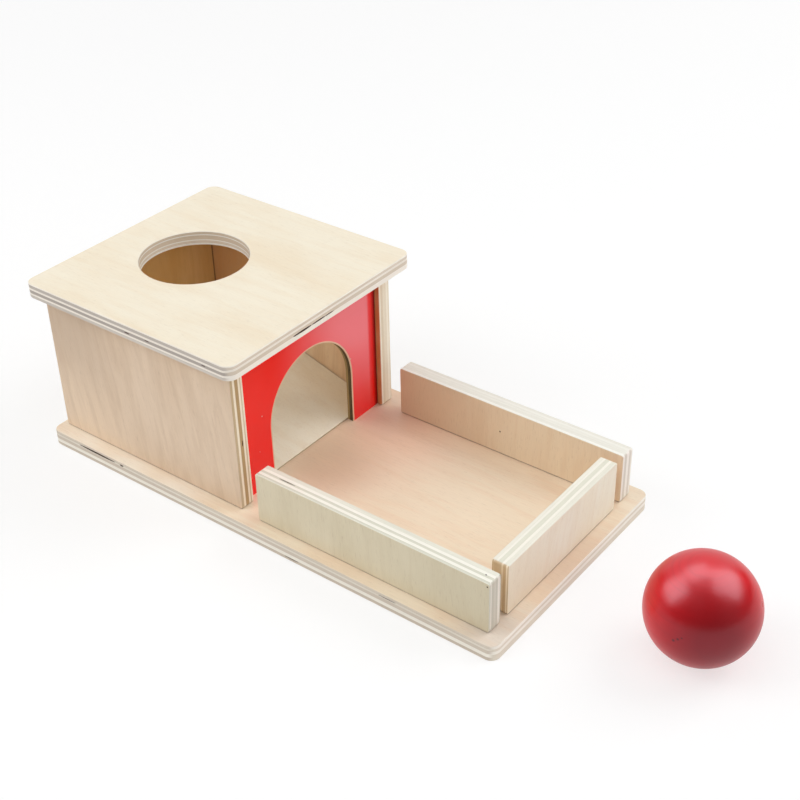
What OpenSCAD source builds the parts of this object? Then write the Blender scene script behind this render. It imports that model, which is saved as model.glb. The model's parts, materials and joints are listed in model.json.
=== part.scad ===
// Object permanence box: a posting box with a ramp inside, a tray and a loose ball.
// X runs along the base board towards the tray's end, Y across it and Z up.
// The origin is the centre of the base board's underside. Sizes are in millimetres.

/* [Base board] */
// Length of the base board
base_l = 250; // [205:1:320]
// Width of the base board
base_w = 120; // [100:1:150]
// Thickness of the base board
base_t = 7.4; // [6:0.1:10]
// Radius of the base board's corners, seen from above
base_r = 4.3; // [2:0.1:15]

/* [Ball] */
// Diameter of the ball
ball_d = 45; // [36:0.5:56]
// Distance on the floor from the base board's end to the ball's side
ball_away = 36.5; // [5:0.5:80]
// Place of the ball across the width, from the middle line
ball_side = -8.5; // [-40:0.5:40]

/* [Box walls] */
// Height of the whole toy, from the underside of the base to the top of the lid
toy_h = 86; // [71:0.5:110]
// Length of the side walls
box_l = 111.2; // [92:0.1:132]
// Distance from the back edge of the base to the back ends of the side walls
box_back = 3.2; // [0:0.1:10]
// Distance from the long edges of the base to the outer faces of the side walls
wall_inset = 7.2; // [4:0.1:10]
// Thickness of the side walls
wall_t = 7.3; // [6:0.1:9]

/* [Thin panels] */
// Thickness of the arch panel, the back panel and the ramp
panel_t = 3.2; // [2.5:0.1:4]
// Distance that the arch panel and the back panel stand back from the walls' ends
panel_back = 3.1; // [2:0.1:6]
// Depth of the grooves in the side walls that hold the thin panels
groove_depth = 2.5; // [1.5:0.1:3]

/* [Doorway] */
// Gap on each side of the ball in the doorway
door_side_gap = 4.8; // [2:0.1:8]
// Gap over the ball under the crown of the doorway
door_top_gap = 8.7; // [3:0.1:10]

/* [Lid] */
// Thickness of the lid
lid_t = 7; // [6:0.1:9]
// Overhang of the lid past the side walls' outer faces
lid_side_over = 7.2; // [3:0.1:12]
// Overhang of the lid past the side walls' front ends
lid_front_over = 7.7; // [3:0.1:10]
// Overhang of the lid past the side walls' back ends
lid_back_over = 3.6; // [2:0.1:10]
// Radius of the lid's corners, seen from above
lid_r = 4.8; // [2:0.1:15]
// Gap all round the ball in the lid's hole
hole_gap = 2.5; // [1:0.1:4]
// Distance from the lid's back edge to the centre of the hole
hole_from_back = 45.6; // [40:0.1:60]

/* [Ramp] */
// Rise of the ramp from its nose to the back panel
ramp_rise = 29; // [18:0.5:34]
// Height of the blunt nose of the ramp
ramp_nose = 0.8; // [0.4:0.1:2]
// Thickness of the rest under the ramp's high end
rest_t = 7.3; // [5:0.1:10]

/* [Tray rails] */
// Height of the tray rails above the base board
rail_h = 24.8; // [20:0.1:32]
// Thickness of the tray rails
rail_t = 7.8; // [6:0.1:9]
// Distance from the long edges of the base board to the side rails' outer faces
rail_inset = 6.1; // [4:0.1:10]
// Distance from the front edge of the base board to the end rail's outer face
rail_end_inset = 6.7; // [4:0.1:10]
// Gap between the side walls' front ends and the side rails
tray_gap = 10.5; // [9:0.1:20]
// Gap between each end of the end rail and the side rail beside it
rail_slot = 5.1; // [3:0.1:15]

/* [Fasteners] */
// Diameter of the screws' shanks
screw_d = 2.8; // [2.4:0.1:3.4]
// Diameter of the screws' heads
screw_head_d = 5.6; // [5:0.1:6.6]
// Length of the screws
screw_l = 18; // [15:0.5:22]
// Diameter of the lid's dowels
dowel_d = 4; // [3:0.1:4.8]
// Length of the lid's dowels
dowel_l = 9; // [7.5:0.5:10.5]

/* [Hidden] */
$fn = 72;

// Overrun of every cut past the surface that it opens
over = 1;
// Radius that sandpaper leaves along the edges of the thick boards
ease = 0.35;
// Radius of the corners of the upright boards, seen square on
board_corner_r = 1.2;
// Play between a thin panel and its groove, on each side
groove_play = 0.1;
// Play between the ramp and the panels and walls round it
ramp_play = 0.3;
// Play round a screw or a dowel in its hole
pin_play = 0.05;
// Play past the end of a screw or a dowel in its hole
end_play = 0.5;
// Depth that a screw head lies below the underside
head_sink = 0.3;
// Width, half-length and depth of the cross cut in a screw head
cross_w = 0.8;
cross_reach = 1.5;
cross_depth = 0.9;
// Length of a screw's point
screw_point = 2.5;
// Share of a board's length that lies between its two screws or dowels
pair_share = 0.6;
// Share of a dowel's length that stands in the lid
dowel_lid_share = 0.45;
// Chamfer on a dowel's ends
dowel_chamfer = 0.4;

// Places along X
box_x0 = -base_l / 2 + box_back;
box_x1 = box_x0 + box_l;
box_mid_x = (box_x0 + box_x1) / 2;
arch_face_x = box_x1 - panel_back;
arch_back_x = arch_face_x - panel_t;
back_face_x = box_x0 + panel_back;
back_inner_x = back_face_x + panel_t;
ramp_nose_x = arch_back_x - ramp_play;
ramp_top_x = back_inner_x + ramp_play;
rail_x0 = box_x1 + tray_gap;
rail_x1 = base_l / 2 - rail_end_inset;
lid_l = lid_back_over + box_l + lid_front_over;
lid_x0 = box_x0 - lid_back_over;
hole_x = lid_x0 + hole_from_back;
ball_x = base_l / 2 + ball_away + ball_d / 2;

// Places along Y
wall_y = base_w / 2 - wall_inset;
wall_mid_y = wall_y - wall_t / 2;
inner_w = 2 * (wall_y - wall_t);
lid_w = 2 * (wall_y + lid_side_over);
rail_y = base_w / 2 - rail_inset;
rail_mid_y = rail_y - rail_t / 2;
end_rail_l = 2 * (rail_y - rail_t - rail_slot);

// Heights
lid_z = toy_h - lid_t;
wall_h = lid_z - base_t;
ramp_angle = atan(ramp_rise / (ramp_nose_x - ramp_top_x));
ramp_under = panel_t / cos(ramp_angle);

// Openings and thin panels
hole_d = ball_d + 2 * hole_gap;
door_w = ball_d + 2 * door_side_gap;
door_h = ball_d + door_top_gap;
groove_w = panel_t + 2 * groove_play;
panel_w = inner_w + 2 * (groove_depth - groove_play);

// Fastener places, as [x, y] pairs seen from above; the dowels stand over the wall screws
wall_pair_x = pair_share * box_l / 2;
wall_screw_places = [for (s = [-1, 1], e = [-1, 1]) [box_mid_x + e * wall_pair_x, s * wall_mid_y]];
rail_mid_x = (rail_x0 + rail_x1) / 2;
rail_pair_x = pair_share * (rail_x1 - rail_x0) / 2;
end_pair_y = pair_share * end_rail_l / 2;
end_rail_x = rail_x1 - rail_t / 2;
side_rail_screw_places = [for (s = [-1, 1], e = [-1, 1]) [rail_mid_x + e * rail_pair_x, s * rail_mid_y]];
end_rail_screw_places = [for (e = [-1, 1]) [end_rail_x, e * end_pair_y]];
lid_dowel_places = wall_screw_places;
screw_cone = (screw_head_d - screw_d) / 2;
dowel_up = dowel_lid_share * dowel_l;
dowel_down = dowel_l - dowel_up;

// Those of the places that lie on the side s of the middle line
function on_side(places, s) = [for (p = places) if (p[1] * s > 0) p];

// Flat outline of a board's cross-section: w wide, t thick, with its four edges eased
module eased_section(w, t) {
    translate([-w / 2 + ease, 0]) square([w - 2 * ease, t]);
    translate([-w / 2, ease]) square([w, t - 2 * ease]);
    for (s = [-1, 1], z = [ease, t - ease])
        translate([s * (w / 2 - ease), z]) circle(ease);
}

// Half of a round board's cross-section, to be turned about the Z axis
module eased_half_section(r, t) {
    intersection() {
        eased_section(2 * r, t);
        square([r, t]);
    }
}

// A board lying flat, l by w by t, with round corners and every edge eased
module eased_board(l, w, t, r) {
    rotate([90, 0, 90]) linear_extrude(l - 2 * r, center = true) eased_section(w, t);
    rotate([90, 0, 0]) linear_extrude(w - 2 * r, center = true) eased_section(l, t);
    for (sx = [-1, 1], sy = [-1, 1])
        translate([sx * (l / 2 - r), sy * (w / 2 - r), 0])
            rotate_extrude() eased_half_section(r, t);
}

// Cut for a countersunk screw: shank hole through the base, cone for its head
module screw_hole_cut() {
    hole_r = screw_d / 2 + pin_play;
    head_r = screw_head_d / 2 + pin_play;
    translate([0, 0, -over]) cylinder(h = base_t + 2 * over, r = hole_r);
    translate([0, 0, -over]) cylinder(h = over + head_sink, r = head_r);
    translate([0, 0, head_sink]) cylinder(h = screw_cone, r1 = head_r, r2 = hole_r);
}

// Pilot hole for a screw in the edge of a board that stands on the base
module pilot_cut() {
    depth = head_sink + screw_l + end_play - base_t;
    translate([0, 0, base_t - over]) cylinder(h = depth + over, r = screw_d / 2 + pin_play);
}

// Blind hole for a dowel, half in a side wall and half in the lid
module dowel_hole_cut() {
    translate([0, 0, lid_z - dowel_down - end_play])
        cylinder(h = dowel_l + 2 * end_play, r = dowel_d / 2 + pin_play);
}

// Countersunk screw standing on its head, with a cross cut in the head
module screw() {
    difference() {
        union() {
            cylinder(h = screw_cone, r1 = screw_head_d / 2, r2 = screw_d / 2);
            cylinder(h = screw_l - screw_point, r = screw_d / 2);
            translate([0, 0, screw_l - screw_point])
                cylinder(h = screw_point, r1 = screw_d / 2, r2 = 0);
        }
        for (turn = [0, 90])
            rotate([0, 0, turn])
                translate([-cross_reach, -cross_w / 2, -over])
                    cube([2 * cross_reach, cross_w, cross_depth + over]);
    }
}

// A screw at each of the places
module screws_at(places) {
    for (p = places)
        translate([p[0], p[1], head_sink]) screw();
}

// The cut that follows, at each of the places
module cuts_at(places) {
    for (p = places)
        translate([p[0], p[1], 0]) children();
}

module base_board() {
    color("#ead3b0")
        difference() {
            eased_board(base_l, base_w, base_t, base_r);
            cuts_at(wall_screw_places) screw_hole_cut();
            cuts_at(side_rail_screw_places) screw_hole_cut();
            cuts_at(end_rail_screw_places) screw_hole_cut();
        }
}

// Side wall on the side s of the middle line, with a groove for each thin panel
module side_wall(s) {
    color("#d8bf9c")
        difference() {
            translate([box_mid_x, s * wall_mid_y + wall_t / 2, base_t + wall_h / 2])
                rotate([90, 0, 0]) eased_board(box_l, wall_h, wall_t, board_corner_r);
            for (face_x = [back_face_x, arch_back_x])
                translate([face_x - groove_play, s * inner_w / 2 - groove_depth, base_t - over])
                    cube([groove_w, 2 * groove_depth, wall_h + 2 * over]);
            cuts_at(on_side(wall_screw_places, s)) pilot_cut();
            cuts_at(on_side(lid_dowel_places, s)) dowel_hole_cut();
        }
}

module near_side_wall() side_wall(-1);
module far_side_wall() side_wall(1);

// Flat outline of the front panel, with its arched doorway
module arch_outline() {
    door_r = door_w / 2;
    difference() {
        translate([-panel_w / 2, 0]) square([panel_w, wall_h]);
        translate([-door_r, -over]) square([door_w, door_h - door_r + over]);
        translate([0, door_h - door_r]) circle(door_r);
    }
}

module arch_panel() {
    color("#e23830")
        translate([arch_back_x, 0, base_t])
            rotate([90, 0, 90]) linear_extrude(panel_t) arch_outline();
}

module back_panel() {
    color("#d8bf9c")
        translate([back_face_x, -panel_w / 2, base_t]) cube([panel_t, panel_w, wall_h]);
}

// Flat outline that eases the rim of a hole of radius r, turned about the Z axis
module rim_outline(r) {
    difference() {
        translate([r - over, -ease]) square([ease + over, ease + over]);
        translate([r + ease, -ease]) circle(ease);
    }
}

module lid() {
    hole_r = hole_d / 2;
    color("#f5ead4")
        difference() {
            translate([lid_x0 + lid_l / 2, 0, lid_z]) eased_board(lid_l, lid_w, lid_t, lid_r);
            translate([hole_x, 0, lid_z - over]) cylinder(h = lid_t + 2 * over, r = hole_r);
            translate([hole_x, 0, toy_h]) rotate_extrude() rim_outline(hole_r);
            translate([hole_x, 0, lid_z]) mirror([0, 0, 1]) rotate_extrude() rim_outline(hole_r);
            cuts_at(lid_dowel_places) dowel_hole_cut();
        }
}

// Sloping board: a flat heel on the base, a blunt nose and an upright high end
module ramp() {
    top_z = base_t + ramp_nose + ramp_rise;
    heel_x = ramp_nose_x - (ramp_under - ramp_nose) / tan(ramp_angle);
    ramp_w = inner_w - 2 * ramp_play;
    color("#cbb495")
        translate([0, ramp_w / 2, 0])
            rotate([90, 0, 0]) linear_extrude(ramp_w)
                polygon([
                    [heel_x, base_t],
                    [ramp_nose_x, base_t],
                    [ramp_nose_x, base_t + ramp_nose],
                    [ramp_top_x, top_z],
                    [ramp_top_x, top_z - ramp_under],
                ]);
}

// Strip standing on the base under the ramp's high end, its top planed to the slope
module ramp_rest() {
    rest_x = back_inner_x + rest_t;
    rest_w = inner_w - 2 * ramp_play;
    under_z = base_t + ramp_nose - ramp_under;
    slope = tan(ramp_angle);
    color("#cbb495")
        translate([0, rest_w / 2, 0])
            rotate([90, 0, 0]) linear_extrude(rest_w)
                polygon([
                    [back_inner_x, base_t],
                    [rest_x, base_t],
                    [rest_x, under_z + (ramp_nose_x - rest_x) * slope],
                    [back_inner_x, under_z + (ramp_nose_x - back_inner_x) * slope],
                ]);
}

// Side rail of the tray on the side s of the middle line
module side_rail(s) {
    color("#ead3b0")
        difference() {
            translate([rail_mid_x, s * rail_mid_y + rail_t / 2, base_t + rail_h / 2])
                rotate([90, 0, 0])
                    eased_board(rail_x1 - rail_x0, rail_h, rail_t, board_corner_r);
            cuts_at(on_side(side_rail_screw_places, s)) pilot_cut();
        }
}

module near_tray_rail() side_rail(-1);
module far_tray_rail() side_rail(1);

module end_tray_rail() {
    color("#ead3b0")
        difference() {
            translate([rail_x1 - rail_t, 0, base_t + rail_h / 2])
                rotate([90, 0, 90]) eased_board(end_rail_l, rail_h, rail_t, board_corner_r);
            cuts_at(end_rail_screw_places) pilot_cut();
        }
}

module wall_screws() {
    color("#b9bcbf") screws_at(wall_screw_places);
}

module rail_screws() {
    color("#b9bcbf") {
        screws_at(side_rail_screw_places);
        screws_at(end_rail_screw_places);
    }
}

// Straight dowel with chamfered ends, standing on its lower end
module dowel() {
    r = dowel_d / 2;
    rotate_extrude()
        polygon([
            [0, 0],
            [r - dowel_chamfer, 0],
            [r, dowel_chamfer],
            [r, dowel_l - dowel_chamfer],
            [r - dowel_chamfer, dowel_l],
            [0, dowel_l],
        ]);
}

module lid_dowels() {
    color("#d9b98a")
        for (p = lid_dowel_places)
            translate([p[0], p[1], lid_z - dowel_down]) dowel();
}

module ball() {
    color("#c01b20")
        translate([ball_x, ball_side, ball_d / 2]) sphere(d = ball_d);
}

base_board();
near_side_wall();
far_side_wall();
arch_panel();
back_panel();
lid();
ramp();
ramp_rest();
near_tray_rail();
far_tray_rail();
end_tray_rail();
wall_screws();
rail_screws();
lid_dowels();
ball();
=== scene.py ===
import json
import math

import bpy
from mathutils import Matrix, Vector


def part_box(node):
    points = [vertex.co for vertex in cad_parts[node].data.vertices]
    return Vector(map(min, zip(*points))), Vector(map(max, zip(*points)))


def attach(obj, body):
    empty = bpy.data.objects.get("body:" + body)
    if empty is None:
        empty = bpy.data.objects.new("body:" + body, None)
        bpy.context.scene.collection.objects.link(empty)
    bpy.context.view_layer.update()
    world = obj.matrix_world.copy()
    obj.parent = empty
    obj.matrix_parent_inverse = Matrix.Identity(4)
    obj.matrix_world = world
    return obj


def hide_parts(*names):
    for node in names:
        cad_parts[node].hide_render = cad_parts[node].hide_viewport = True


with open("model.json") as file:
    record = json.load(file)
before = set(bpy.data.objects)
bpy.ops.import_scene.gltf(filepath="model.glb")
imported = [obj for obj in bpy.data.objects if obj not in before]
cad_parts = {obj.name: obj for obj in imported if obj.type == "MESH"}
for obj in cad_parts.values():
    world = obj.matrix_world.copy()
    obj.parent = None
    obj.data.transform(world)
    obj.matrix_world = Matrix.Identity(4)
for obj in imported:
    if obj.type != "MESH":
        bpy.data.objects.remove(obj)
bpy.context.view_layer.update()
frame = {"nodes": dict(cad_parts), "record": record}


# Base board
# A five-ply birch board that everything else stands on. Its corners are sawn round and its
# edges are eased with sandpaper. Ten countersunk screws come up through it from below.
X, Y, Z = 0, 1, 2
MM = 0.001
SMALL = 0.01 * MM
EASE = 0.35 * MM
BASE_CORNER = 4.3 * MM
ROUND_STEPS = 10
EASE_STEPS = 3
PLY_BORDER = 0.02
GLUE_LINE = 0.18
SCREW_HOLE_R = 1.45 * MM
SCREW_HEAD_R = 2.85 * MM
HEAD_SINK = 0.3 * MM
HEAD_CONE = 1.4 * MM
OVERRUN = 1 * MM
HOLE_SIDES = 24
PINS_APART = 8 * MM
DOWNWARDS = -0.9
SQUARE_ON = 0.99
FLAT_ANGLE = math.radians(40)
NOISE_ROUGHNESS = 0.55
# Changes in a metre on a face, along the grain and across it.
CLOUDS = (16, 40)
BANDS = (24, 230)
FIBRES = (110, 2400)
PORES = (260, 3000)
# Changes in a metre on a sawn edge, across the plies and along them.
PLY_WAVES = (60, 28)
PLY_DRIFT = (700, 22)
THREADS = (2600, 90)
GRIT = (1100, 1100, 1100)
PORE_BROWN = (150, 115, 80)
# Brown of the painted shade along joints where boards meet, and how far it reaches.
CORNER_SHADE_BROWN = (84, 48, 34)
JOINT_SHADE = 0.8 * MM
BLUSH_RAG = 0.15
FIBRE_RELIEF = 0.03 * MM
CLEAR_FINISH_IOR = 1.45
GAP_RAG = 0.04 * MM
# The place and the size of each, in millimetres.
BASE_GAPS = (
    ((-94.5, -60, 5.95), (24, 2.6, 0.9)),
    ((-78.4, -60, 5.95), (2.4, 1.6, 0.9)),
    ((73.5, -60, 5.95), (9, 0.7, 0.35)),
    ((23.0, -60, 1.45), (8, 1.0, 0.4)),
    ((38.0, 60, 2.95), (17, 1.6, 0.45)),
    ((-125, 22.0, 4.45), (1.4, 12, 0.4)))


def srgb(red, green, blue):
    """The linear colour that is seen as these three numbers, from 0 to 255."""
    def linear(c):
        c /= 255
        return c / 12.92 if c <= 0.04045 else ((c + 0.055) / 1.055) ** 2.4
    return (linear(red), linear(green), linear(blue), 1)


def only(piece):
    """Makes piece the one selected object, and the active one."""
    bpy.ops.object.select_all(action="DESELECT")
    piece.select_set(True)
    bpy.context.view_layer.objects.active = piece


def settled(name):
    """Names the primitive just added, and puts its place and size in its mesh."""
    piece = bpy.context.object
    piece.name = piece.data.name = name
    bpy.ops.object.transform_apply(location=True, rotation=True, scale=True)
    return piece


def block(name, low, high):
    """A block between two corners, ready to be shaped."""
    low, high = Vector(low), Vector(high)
    bpy.ops.object.select_all(action="DESELECT")
    bpy.ops.mesh.primitive_cube_add(size=1, location=(low + high) / 2, scale=high - low)
    return settled(name)


def pick_edges(piece, wanted):
    """Opens piece in edit mode with those edges selected for which wanted(one end, other end) holds."""
    only(piece)
    bpy.ops.object.mode_set(mode="EDIT")
    bpy.ops.mesh.select_mode(type="EDGE")
    bpy.ops.mesh.select_all(action="DESELECT")
    bpy.ops.object.mode_set(mode="OBJECT")
    points = piece.data.vertices
    for edge in piece.data.edges:
        edge.select = wanted(*[points[v].co for v in edge.vertices])
    bpy.ops.object.mode_set(mode="EDIT")


def pick_faces(piece, wanted):
    """Opens piece in edit mode with those faces selected for which wanted(middle, normal) holds."""
    only(piece)
    bpy.ops.object.mode_set(mode="EDIT")
    bpy.ops.mesh.select_mode(type="FACE")
    bpy.ops.mesh.select_all(action="DESELECT")
    bpy.ops.object.mode_set(mode="OBJECT")
    for face in piece.data.polygons:
        face.select = wanted(face.center, face.normal)
    bpy.ops.object.mode_set(mode="EDIT")


def shaped():
    """Closes edit mode."""
    bpy.ops.object.mode_set(mode="OBJECT")


def board(name, node, thick, corner, material, ease=EASE):
    """A board in a node's place: round corners seen along its thickness, and eased edges."""
    low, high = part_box(node)
    piece = block(name, low, high)
    piece.data.materials.append(material)

    def on_face(v):
        return min(v[thick] - low[thick], high[thick] - v[thick]) < SMALL

    pick_edges(piece, lambda a, b: abs((b - a)[thick]) > SMALL)
    bpy.ops.mesh.bevel(offset=corner, segments=ROUND_STEPS, affect="EDGES")
    shaped()
    pick_edges(piece, lambda a, b: on_face(a) and on_face(b) and abs((b - a)[thick]) < SMALL)
    bpy.ops.mesh.bevel(offset=ease, segments=EASE_STEPS, affect="EDGES")
    shaped()
    return piece


def cut(piece, cutter, material=None):
    """Takes cutter's shape out of piece. The cut faces get material, or the piece's own."""
    cutter.data.materials.clear()
    cutter.data.materials.append(material or piece.data.materials[0])
    tool = piece.modifiers.new("cut", "BOOLEAN")
    tool.operation = "DIFFERENCE"
    tool.solver = "EXACT"
    tool.material_mode = "TRANSFER"
    tool.object = cutter
    only(piece)
    bpy.ops.object.modifier_apply(modifier=tool.name)
    bpy.data.objects.remove(cutter)


def joined(pieces):
    """Makes one object of several that lie apart."""
    bpy.ops.object.select_all(action="DESELECT")
    for piece in pieces:
        piece.select_set(True)
    bpy.context.view_layer.objects.active = pieces[0]
    bpy.ops.object.join()
    return bpy.context.object


def rod(name, centre, radius, bottom, top, sides=HOLE_SIDES):
    """An upright round rod, ready to be shaped."""
    bpy.ops.object.select_all(action="DESELECT")
    middle = (centre[X], centre[Y], (bottom + top) / 2)
    bpy.ops.mesh.primitive_cylinder_add(vertices=sides, radius=radius, depth=top - bottom, location=middle)
    return settled(name)


def countersunk_rod(centre, top):
    """The shape of a countersunk hole from below: shank, cone and sink for the head."""
    shank_end = HEAD_SINK + HEAD_CONE
    piece = rod("screw_cutter", centre, SCREW_HOLE_R, shank_end, top)
    pick_faces(piece, lambda middle, normal: normal.z < DOWNWARDS)
    bpy.ops.mesh.extrude_region_move(TRANSFORM_OT_translate={"value": (0, 0, -HEAD_CONE)})
    wider = SCREW_HEAD_R / SCREW_HOLE_R
    bpy.ops.transform.resize(value=(wider, wider, 1), center_override=(centre[X], centre[Y], HEAD_SINK))
    bpy.ops.mesh.extrude_region_move(TRANSFORM_OT_translate={"value": (0, 0, -HEAD_SINK - OVERRUN)})
    shaped()
    return piece


def places_of(node):
    """The middles of the like solids in a node, which stand apart when seen from above."""
    groups = []
    for vertex in frame["nodes"][node].data.vertices:
        for group in groups:
            if (group[0] - vertex.co).xy.length < PINS_APART:
                group.append(vertex.co)
                break
        else:
            groups.append([vertex.co])
    return [
        Vector([(min(v[axis] for v in group) + max(v[axis] for v in group)) / 2 for axis in (X, Y, Z)])
        for group in groups
    ]


def flattened(piece):
    """Shades the round stretches smooth and keeps the flat faces flat."""
    only(piece)
    bpy.ops.object.shade_smooth_by_angle(angle=FLAT_ANGLE)
    tool = piece.modifiers.new("flat faces", "WEIGHTED_NORMAL")
    tool.keep_sharp = True
    bpy.ops.object.modifier_apply(modifier=tool.name)


def faced(piece, way, material):
    """Gives the flat faces that look one way a material of their own."""
    piece.data.materials.append(material)
    for face in piece.data.polygons:
        if face.normal.dot(Vector(way)) > SQUARE_ON:
            face.material_index = len(piece.data.materials) - 1


def stands_for(piece, node, body="box"):
    """piece takes the node's place on its body."""
    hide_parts(node)
    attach(piece, body)


def wire(tree, kind, inputs, **settings):
    """Adds a node. Each input is a value, or another node's output."""
    made = tree.nodes.new("ShaderNode" + kind)
    for key, value in settings.items():
        setattr(made, key, value)
    for key, value in inputs.items():
        if isinstance(value, bpy.types.NodeSocket):
            tree.links.new(value, made.inputs[key])
        else:
            made.inputs[key].default_value = value
    return made


def calc(tree, operation, *values):
    """The result of one sum."""
    return wire(tree, "Math", dict(enumerate(values)), operation=operation).outputs[0]


def spread(tree, value, start, end, low=0.0, high=1.0, kind="SMOOTHSTEP"):
    """value from start to end, made low to high. The ends are soft, unless kind is LINEAR."""
    inputs = {"Value": value, "From Min": start, "From Max": end, "To Min": low, "To Max": high}
    return wire(tree, "MapRange", inputs, interpolation_type=kind).outputs[0]


def blended(tree, share, first, second, how="MIX"):
    """The second colour over the first, by share."""
    inputs = {"Factor": share, "A": first, "B": second}
    made = tree.nodes.new("ShaderNodeMix")
    made.data_type = "RGBA"
    made.blend_type = how
    sockets = {"Factor": made.inputs[0], "A": made.inputs[6], "B": made.inputs[7]}
    for key, value in inputs.items():
        if isinstance(value, bpy.types.NodeSocket):
            tree.links.new(value, sockets[key])
        else:
            sockets[key].default_value = value
    return made.outputs[2]


def noise(tree, place, per_metre, seed, detail=3.0, bend=0.0):
    """Smooth noise whose grain is set per axis, as changes in a metre."""
    shift = (seed, seed * 0.7, seed * 1.3)
    stretched = wire(tree, "Mapping", {"Vector": place, "Scale": per_metre, "Location": shift})
    inputs = {
        "Vector": stretched.outputs[0], "Scale": 1.0,
        "Detail": detail, "Roughness": NOISE_ROUGHNESS, "Distortion": bend}
    return wire(tree, "TexNoise", inputs).outputs[0]


def distance(tree, place, spot):
    """How far a place is from a spot, which is given in millimetres."""
    return wire(tree, "VectorMath", {0: place, 1: Vector(spot) * MM}, operation="DISTANCE").outputs["Value"]


def stripes(tree, layer, plies):
    """The tone of each ply across a board, from 0, dark, to 1, pale, with a thin line of glue between.
    Each of the plies is a thickness and a tone, in the order in which they lie."""
    ramp = tree.nodes.new("ShaderNodeValToRGB")
    tree.links.new(layer, ramp.inputs[0])
    points = ramp.color_ramp.elements
    while len(points) > 1:
        points.remove(points[-1])
    whole = sum(thickness for thickness, tone in plies)
    stops = []
    start = 0.0
    for thickness, tone in plies:
        share = thickness / whole
        soft = min(PLY_BORDER, 0.3 * share)
        if stops:
            stops.append((start, max(0.0, min(tone, stops[-1][1]) - GLUE_LINE)))
        stops.append((start + soft, tone))
        stops.append((start + share - soft, tone))
        start += share
    points[0].position = stops[0][0]
    points[0].color = (stops[0][1],) * 3 + (1,)
    for position, tone in stops[1:]:
        points.new(position).color = (tone,) * 3 + (1,)
    return ramp.outputs[0]


def fresh_material(name):
    """A new material, its nodes and its shader."""
    material = bpy.data.materials.new(name)
    material.use_nodes = True
    return material, material.node_tree, material.node_tree.nodes["Principled BSDF"]


def grey(tree, value):
    """A number as a grey colour."""
    return wire(tree, "CombineXYZ", {0: value, 1: value, 2: value}).outputs[0]


def per_axis(rates, axis):
    """Three numbers: the first of the rates on one axis, and the second on the rest."""
    return tuple(rates[0] if k == axis else rates[1] for k in (X, Y, Z))


def veneer_face(tree, place, thick, grain, veneer, figure, lean, tints_and_painted_light, seed):
    """The colour of a board's faces, and where its bands, fibres and pores are."""
    turn = [0.0, 0.0, 0.0]
    turn[thick] = math.radians(lean)
    leaning = wire(tree, "Mapping", {"Vector": place, "Rotation": turn}).outputs[0]
    cloud = noise(tree, leaning, per_axis(CLOUDS, grain), seed)
    bands = noise(tree, leaning, per_axis(BANDS, grain), seed + 3, detail=4, bend=0.6)
    fibres = noise(tree, leaning, per_axis(FIBRES, grain), seed + 5, detail=2)
    pores = spread(tree, noise(tree, leaning, per_axis(PORES, grain), seed + 9, detail=1), 0.62, 0.75)
    pale, mean, streak = [srgb(*c) for c in veneer]
    face = blended(tree, spread(tree, cloud, 0.35, 0.68), pale, mean)
    # Patches of another colour round a place: some are tints of the wood, and others are painted shade,
    # painted light and a painted reflection of the red panel.
    for tint, middle, inner, outer in tints_and_painted_light:
        reach = calc(tree, "MULTIPLY_ADD", cloud, 2 * BLUSH_RAG * outer * MM, distance(tree, place, middle))
        start, end = (inner + BLUSH_RAG * outer) * MM, (1 + BLUSH_RAG) * outer * MM
        face = blended(tree, spread(tree, reach, start, end, 1.0, 0.0), face, srgb(*tint))
    face = blended(tree, calc(tree, "MULTIPLY", spread(tree, bands, 0.42, 0.7), figure), face, streak)
    lines = calc(tree, "MULTIPLY_ADD", fibres, 0.10, 0.95)
    face = blended(tree, 1.0, face, grey(tree, lines), "MULTIPLY")
    face = blended(tree, calc(tree, "MULTIPLY", pores, 0.16), face, srgb(*PORE_BROWN))
    return face, bands, fibres, pores


def sawn_edges(tree, place, facing, height, thick, edges, seed):
    """The colour of a board's sawn edges, and the threads in them. height goes from 0 to 1 through
    the plies."""
    waves = noise(tree, place, per_axis(PLY_WAVES, thick), seed + 11, detail=2)
    layer = calc(tree, "ADD", height, calc(tree, "MULTIPLY_ADD", waves, 0.05, -0.025))
    drift = noise(tree, place, per_axis(PLY_DRIFT, thick), seed + 13, detail=2)
    drift = calc(tree, "MULTIPLY_ADD", drift, 0.5, -0.25)
    sides = []
    for dark, light, plies in edges:
        tone = calc(tree, "ADD", stripes(tree, layer, plies), drift)
        sides.append(blended(tree, spread(tree, tone, 0.0, 1.0), srgb(*dark), srgb(*light)))
    first = [axis for axis in (X, Y, Z) if axis != thick][0]
    to_first = spread(tree, calc(tree, "ABSOLUTE", facing.outputs[first]), 0.3, 0.8)
    edge = blended(tree, to_first, sides[1], sides[0])
    threads = noise(tree, place, per_axis(THREADS, thick), seed + 15, detail=2)
    grit = noise(tree, place, GRIT, seed + 17, detail=2)
    threaded = calc(tree, "MULTIPLY_ADD", threads, 0.14, 0.92)
    dusk = calc(tree, "ADD", threaded, calc(tree, "MULTIPLY_ADD", grit, 0.08, -0.03))
    return blended(tree, 1.0, edge, grey(tree, dusk), "MULTIPLY"), threads


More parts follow.
